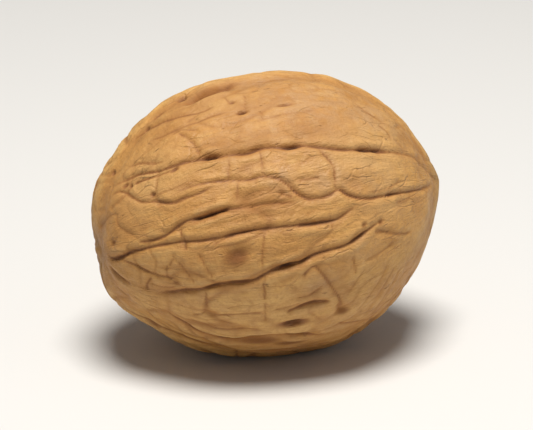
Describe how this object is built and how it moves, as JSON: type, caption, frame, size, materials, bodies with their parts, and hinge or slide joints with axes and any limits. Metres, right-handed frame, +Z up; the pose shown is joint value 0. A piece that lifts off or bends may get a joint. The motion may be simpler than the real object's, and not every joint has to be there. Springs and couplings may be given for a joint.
{
  "type": "walnut",
  "caption": "Whole walnut in its hard shell, oval with a pointed apex, a raised seam rim round its length, and branching grooves over a net of low ridges.",
  "frame": {"origin": "under the middle of the nut's box, on the surface that it rests on", "axes": "+X along the nut from its blunt base to its pointed apex, which is raised 7 degrees; +Z up; -Y is the side that faces the viewer"},
  "size_m": [0.043, 0.0334, 0.0332],
  "materials": {
    "walnut_shell": "dry, semi-matt natural shell"
  },
  "bodies": {
    "root": {"walnut_shell": "walnut_shell"}
  },
  "joints": []
}
